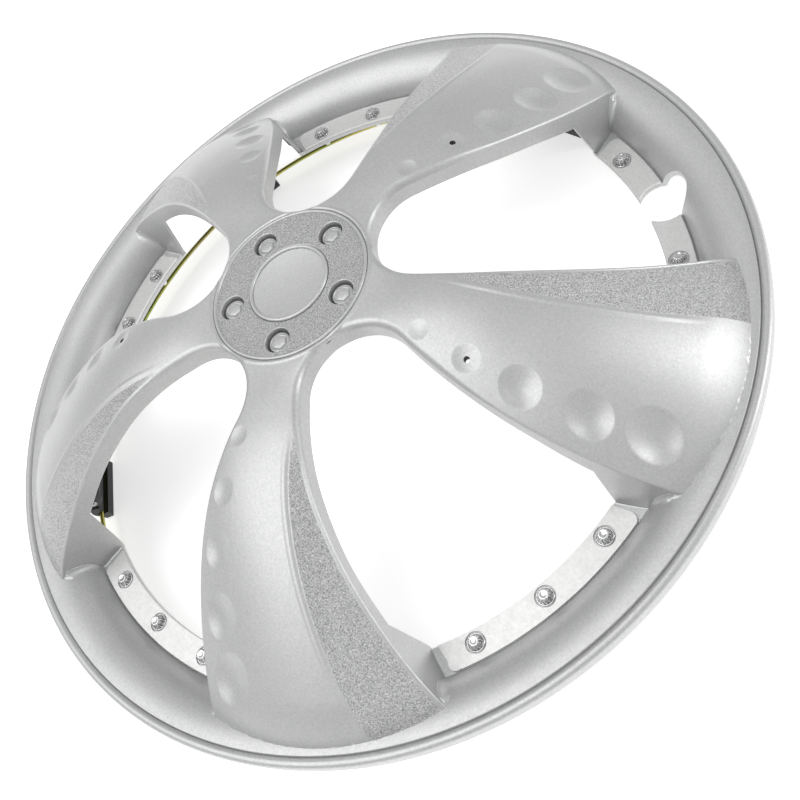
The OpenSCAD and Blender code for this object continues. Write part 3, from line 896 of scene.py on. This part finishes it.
def yellow_zinc(name):
    """Zinc with a yellow passivate that drifts between green, gold and pink."""
    s = Shader(name)
    drift = s.noise(22, 3, 0.6)
    base = s.mix(s.map(drift, 0.35, 0.6, 0, 1), (0.30, 0.40, 0.08), (0.62, 0.55, 0.16))
    colour = s.mix(s.map(s.noise(9, 2), 0.52, 0.7, 0, 0.55), base, (0.6, 0.28, 0.2))
    skin = s.bump(s.noise(700, 3), 0.00004, 0.4)
    rough = s.map(s.noise(90), 0.3, 0.7, 0.22, 0.36)
    return s.set(Base_Color=colour, Metallic=0.85, Roughness=rough, Normal=skin)


SILVER = silver_paint("silver_front", "grain")
BACK = black_plastic("bare_back")
CAP = silver_paint("cap_silver", bright=1.08)
NUT = silver_paint("nut_silver", bright=1.05)
WHITE = strip_white("strip_white")
CHROME = metal("bolt_chrome", (0.5, 0.5, 0.51), (0.74, 0.74, 0.74), (0.12, 0.22))
SPRING = metal("spring_steel", (0.16, 0.16, 0.17), (0.3, 0.3, 0.31), (0.28, 0.44))
PIN = metal("pin_steel", (0.36, 0.36, 0.37), (0.5, 0.5, 0.5), (0.25, 0.38))
ZINC = yellow_zinc("yellow_zinc")
NYLON = black_plastic("black_nylon", (0.012, 0.012, 0.013))


# ---- the painted shell ----
def shell():
    """The whole face: silver in front, bare black behind."""
    m = Mesh()
    tied, plain = blade(True), blade(False)
    for k in range(BLADES):
        m.join(turned(tied if k in TIE_BLADES else plain, k * TURN))
    for k in range(BLADES):
        m.join(turned(ledge(k == 0), k * TURN))
    for k in range(BLADES):
        m.join(turned(towers(), k * TURN))
    m.join(rim())
    m.join(hub_seat())
    return m.object("painted_face", [SILVER, BACK])


def stands_for(obj, node, body):
    """Puts a piece on its body, in place of a CAD node."""
    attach(obj, body)
    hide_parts(node)


stands_for(shell(), "cover_shell", "cover")


# ---- hub plate, cap, nuts and bolts ----
def lathe(m, pts, mat=0, centre=AXIS, n=72, radius=0.3, side=1, cap=0):
    """Revolves a profile about centre; cap closes its last point with a disc facing up or down."""
    prof, normals = soft_profile(pts, radius)
    a = np.linspace(0, 2 * math.pi, n, endpoint=False)
    rows = [np.stack([centre[0] + r * np.cos(a), centre[1] + r * np.sin(a), z + 0 * a], -1) for r, z in prof]
    nn = [np.stack([q[0] * np.cos(a), q[0] * np.sin(a), q[1] + 0 * a], -1) for q in normals * side]
    m.grid(np.array(rows), np.array(nn), mat, closed=True)
    if cap:
        m.add(rows[-1], np.tile([0.0, 0.0, float(cap)], (n, 1)), [tuple(range(n))], mat)


def bead_arc(r, a0, a1, n):
    """Profile of the round border of the plate or the cap, between two angles in degrees."""
    return [(r + 0.9 * math.cos(a), PLATE_Z + 0.9 * math.sin(a)) for a in np.linspace(a0, a1, n) * RAD]


def flat(m, v, f, z, way, mat, grain=None):
    """A flat face at height z that looks up (1) or down (-1)."""
    m.add(np.column_stack([v, np.full(len(v), z)]), np.tile([0.0, 0.0, way], (len(v), 1)), f, mat, grain)


def hub_plate():
    """The grained plate: a rounded border, five pits for the nuts and a rabbet for the cap."""
    m = Mesh()
    holes = [circle_at(c, PIT_MOUTH, 48) for c in LUGS] + [circle_at(AXIS, PLATE_IN, 120)]
    inside = np.concatenate([circle_at(AXIS, r, int(2.2 * r)) for r in np.arange(23.5, 38.5, 2.4)])
    for c in LUGS:
        inside = inside[np.hypot(*(inside - c).T) > PIT_OUT + 0.1]
    v, f = triangulate(circle_at(AXIS, PLATE_R, 200), holes, inside)
    flat(m, v, f, PLATE_Z, 1, 0, np.ones(len(v)))
    bead = bead_arc(PLATE_R + 1.0, 165, 0, 14)
    lathe(m, [(PLATE_R, PLATE_Z)] + bead + [(PLATE_OUT, PLATE_BACK)], 0, n=240, radius=0.15)
    holes = [circle_at(c, PIT_OUT, 56) for c in LUGS] + [circle_at(AXIS, PLATE_IN - 0.3, 120)]
    v, f = triangulate(circle_at(AXIS, PLATE_OUT, 240), holes, [])
    flat(m, v, f, PLATE_BACK, -1, 1)
    rabbet = [(19.2, PLATE_BACK), (19.2, 52.55), (21.25, 52.55), (21.25, 53.75), (PLATE_IN, PLATE_Z)]
    lathe(m, rabbet, 0, n=160, radius=0.12)
    for c in LUGS:
        lathe(m, [(0.4, PIT_Z), (PIT_R, PIT_Z), (PIT_R, 53.6), (PIT_MOUTH, PLATE_Z)], 0, c, 48, 0.35)
        lathe(m, [(PIT_OUT, 51.7), (PIT_OUT, PIT_Z - 1.5), (1.2, PIT_Z - 1.5)], 1, c, 56, 0.3, -1)
    return m.object("grained_plate", [SILVER, BACK])


def cap():
    """The centre cap: a dished front inside a rounded border, and a skirt with a closed back."""
    m = Mesh()
    dish = [(r, 52.3 + r * r / 270) for r in np.linspace(19.1, 0.3, 16)]
    bead = bead_arc(20.1, 0, 205, 18)
    lathe(m, [(19.0, 52.65), (21.0, 52.65)] + bead + dish, 0, n=200, radius=0.05, cap=1)
    skirt = [(19.0, 52.6), (18.8, 49.9), (18.8, 47.7), (17.4, 47.7), (17.4, 51.4), (0.3, 51.4)]
    lathe(m, skirt, 1, n=120, radius=0.2, side=-1, cap=-1)
    return m.object("dished_cap", [CAP, BACK])


def hexagon(r, n):
    a = np.linspace(0, 2 * math.pi, n, endpoint=False)
    q = (a % (math.pi / 3)) - math.pi / 6
    return polar(1.0, a) * (r * math.cos(math.pi / 6) / np.cos(q))[:, None]


def loft(name, sites, rings, material, sharp):
    """Joins plan rings (points, height) into a closed body at every site."""
    verts, faces = [], []
    n = len(rings[0][0])
    for c in sites:
        base = len(verts)
        for pts, z in rings:
            verts += [((c[0] + px) / 1000, (c[1] + py) / 1000, (z + RIM_H) / 1000) for px, py in pts]
        last = base + (len(rings) - 1) * n
        for row in range(base, last, n):
            for j in range(n):
                k = (j + 1) % n
                faces.append((row + j, row + k, row + n + k, row + n + j))
        faces.append(tuple(range(base, base + n))[::-1])
        faces.append(tuple(range(last, last + n)))
    me = bpy.data.meshes.new(name)
    me.from_pydata(verts, [], faces)
    me.polygons.foreach_set("use_smooth", [True] * len(faces))
    me.set_sharp_from_angle(angle=sharp * RAD)
    me.materials.append(material)
    return linked(name, me)


def nuts():
    """A round flange with a raised hexagon in its middle, on a short stem."""
    n = 72
    flange = [(1.2, -2.1), (1.2, 0), (5.3, 0), (5.3, 3.9), (5.2, 4.25), (4.95, 4.5), (4.6, 4.55), (4.3, 4.35),
              (4.15, 3.9)]
    head = [(3.95, 3.8), (3.75, 4.2), (3.5, 4.5), (3.3, 4.58)]
    rings = [(circle_at(AXIS, r, n), PIT_Z + z) for r, z in flange]
    rings += [(hexagon(r, n), PIT_Z + z) for r, z in head]
    rings.append((circle_at(AXIS, 1.0, n), PIT_Z + 4.58))
    return loft("dummy_nuts", LUGS, rings, NUT, 40)


def bolts(k):
    """The bolts of window k: shank, washer, splined crown and its dished end. The notch takes one away."""
    n = 144
    a = np.linspace(0, 2 * math.pi, n, endpoint=False)
    steep = 2.6
    tooth = 0.5 + 0.5 * np.tanh(steep * np.cos(SPLINES * a)) / math.tanh(steep)
    washer = [(1.7, -8), (1.7, -0.05), (4.2, 0), (4.3, 0.5), (4.15, 0.85), (3.9, 1.0), (3.6, 0.9),
              (3.35, 0.7)]
    crown_rings = [(3.25, 2.1, 0.75), (3.2, 2.05, 2.0), (3.05, 2.0, 3.1), (2.85, 2.1, 3.6), (2.5, 2.2, 3.95)]
    end = [(2.1, 4.15), (1.7, 4.2), (1.3, 4.05), (0.6, 3.95)]
    rings = [(polar(1.0, a) * r, BOLT_Z + z) for r, z in washer]
    for tip, root, z in crown_rings:
        rings.append((polar(1.0, a) * (root + (tip - root) * tooth)[:, None], BOLT_Z + z))
    rings += [(polar(1.0, a) * r, BOLT_Z + z) for r, z in end]
    at = [polar(BOLT_D, TURN * k + NOTCH_A + 12 * i * RAD) for i in (-1, 0, 1) if k or i]
    return loft(f"splined_bolts_{k}", at, rings, CHROME, 50)


stands_for(hub_plate(), "hub_plate", "cover")
stands_for(cap(), "centre_cap", "cover")
stands_for(nuts(), "lug_nuts", "cover")
for k in range(BLADES):
    stands_for(bolts(k), f"spline_bolts_{k}", "cover")


# ---- the wire ring: open at the valve notch, in stretches that meet at each clip ----
HALF_SPAN, HELD, GRIPPED = 36, 26, 5.5      # degrees from a clip's middle


def wire(name, a0, a1):
    """One stretch of the ring between two angles in degrees, closed at both ends."""
    m = Mesh()
    t = np.linspace(a0, a1, max(8, int(abs(a1 - a0) * 2))) * RAD
    u = np.linspace(0, 2 * math.pi, 20, endpoint=False)
    out = np.cos(u)[None, :, None] * np.column_stack([polar(1.0, t), 0 * t])[:, None, :]
    nrm = out + np.sin(u)[None, :, None] * np.array([0.0, 0.0, 1.0])
    mid = np.column_stack([polar(WIRE_R, t), np.full(len(t), WIRE_Z)])
    rows = mid[:, None, :] + WIRE * nrm
    m.grid(rows, nrm, closed=True)
    along = polar(1.0, t + math.pi / 2) * np.sign(a1 - a0)
    for end, way in ((0, -1), (-1, 1)):
        m.add(rows[end], np.tile([*(along[end] * way), 0.0], (len(u), 1)), [tuple(range(len(u)))])
    return m.object(name, [ZINC])


def middle_angle(node):
    """Angle in degrees of a CAD node's middle about the axis."""
    mesh = node.data
    at = sum((node.matrix_world @ v.co for v in mesh.vertices), Vector()) / len(mesh.vertices)
    return math.degrees(math.atan2(at.y, at.x))


def ring_pieces():
    """Two stretches of wire per clip, from its middle out either way on one circle, stopped at the valve
    notch's gap.
    """
    for k in range(1, BLADES + 1):
        clip = f"clip_{k}"
        middle = middle_angle(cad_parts[clip])
        for side, label in ((-1, "a"), (1, "b")):
            far = middle + HALF_SPAN * side
            if RING_GAP[0] - 5 < far < RING_GAP[1] + 5:
                far = RING_GAP[0] if side > 0 else RING_GAP[1]
            piece = wire(f"ring_wire_{k}{label}", middle, far)
            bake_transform(piece)
            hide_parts("retention_ring")


ring_pieces()


# ---- the strips: copies of the CAD solids with softened edges ----
def softened(node, width=0.0003, angle=28):
    """A copy of a CAD node with its sharp edges rounded by width."""
    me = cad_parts[node].data.copy()
    bm = bmesh.new()
    bm.from_mesh(me)
    bmesh.ops.remove_doubles(bm, verts=bm.verts, dist=2e-6)
    bmesh.ops.dissolve_limit(bm, angle_limit=0.4 * RAD, verts=bm.verts, edges=bm.edges)
    bm.to_mesh(me)
    bm.free()
    me.materials.clear()
    me.materials.append(WHITE)
    me.polygons.foreach_set("use_smooth", [True] * len(me.polygons))
    o = linked("soft_" + node, me)
    bevel = o.modifiers.new("edges", "BEVEL")
    bevel.width = width
    bevel.segments = 3
    bevel.limit_method = "ANGLE"
    bevel.angle_limit = angle * RAD
    bevel.harden_normals = False
    weighted = o.modifiers.new("normals", "WEIGHTED_NORMAL")
    weighted.keep_sharp = False
    return o


for strip in ["valve_strip_a", "valve_strip_b"] + [f"bolt_strip_{k}" for k in range(1, BLADES)]:
    stands_for(softened(strip), strip, "cover")


# ---- the CAD solids that stay as they are: only their materials are set ----
FINISH = {"hub_screws": SPRING, "clip_pins": PIN}
FINISH.update({f"push_nuts_{k}": SPRING for k in range(BLADES)})
FINISH.update({f"clip_{k}": NYLON for k in range(1, BLADES + 1)})
for node, material in FINISH.items():
    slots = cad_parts[node].data.materials
    if not slots:
        slots.append(material)
    for i in range(len(slots)):
        slots[i] = material


# ---- floor, light and camera ----
def pale_floor():
    half = 3.0
    corners = [(-half, -half, 0), (half, -half, 0), (half, half, 0), (-half, half, 0)]
    me = bpy.data.meshes.new("floor")
    me.from_pydata(corners, [], [(0, 1, 2, 3)])
    floor = linked("floor", me)
    s = Shader("pale_floor")
    colour = s.mix(s.map(s.noise(3, 2), 0.3, 0.7, 0, 1), (0.9, 0.9, 0.9), (0.93, 0.93, 0.93))
    s.set(Base_Color=colour, Roughness=0.9, Emission_Color=(1.0, 1.0, 1.0), Emission_Strength=0.6)
    me.materials.append(s.mat)


def soft_sky():
    world = bpy.data.worlds.new("studio")
    bpy.context.scene.world = world
    world.use_nodes = True
    sky = world.node_tree.nodes["Background"].inputs
    sky["Color"].default_value = (1, 1, 1, 1)
    sky["Strength"].default_value = 0.62


def area_light(name, at, size, power):
    """A rectangular lamp that looks at the cover."""
    lamp = bpy.data.lights.new(name, "AREA")
    lamp.shape = "RECTANGLE"
    lamp.size, lamp.size_y = size
    lamp.energy = power
    o = linked(name, lamp)
    o.location = at
    o.rotation_euler = (Vector((0, 0, 0.05)) - Vector(at)).to_track_quat("-Z", "Y").to_euler()


def camera(eye, forward, up):
    """The camera solved from the photo: the round rim and the five-fold symmetry fix its place and lens."""
    data = bpy.data.cameras.new("camera")
    data.lens = 40.36
    data.sensor_width = 36
    data.clip_start = 0.01
    o = linked("camera", data)
    forward = Vector(forward).normalized()
    right = forward.cross(Vector(up)).normalized()
    up = right.cross(forward).normalized()
    facing = Matrix((right, up, -forward)).transposed()
    o.matrix_world = Matrix.Translation(eye) @ facing.to_4x4()
    bpy.context.scene.camera = o


pale_floor()
soft_sky()
area_light("key", (-0.5, -0.45, 1.6), (1.8, 1.8), 15)
area_light("side", (1.2, 0.6, 0.6), (0.3, 0.8), 5)
camera((0.26196, -0.16464, 0.39294), (-0.49963, 0.31514, -0.80688), (-0.13250, 0.89271, 0.43070))
bpy.context.scene.view_settings.view_transform = "Standard"
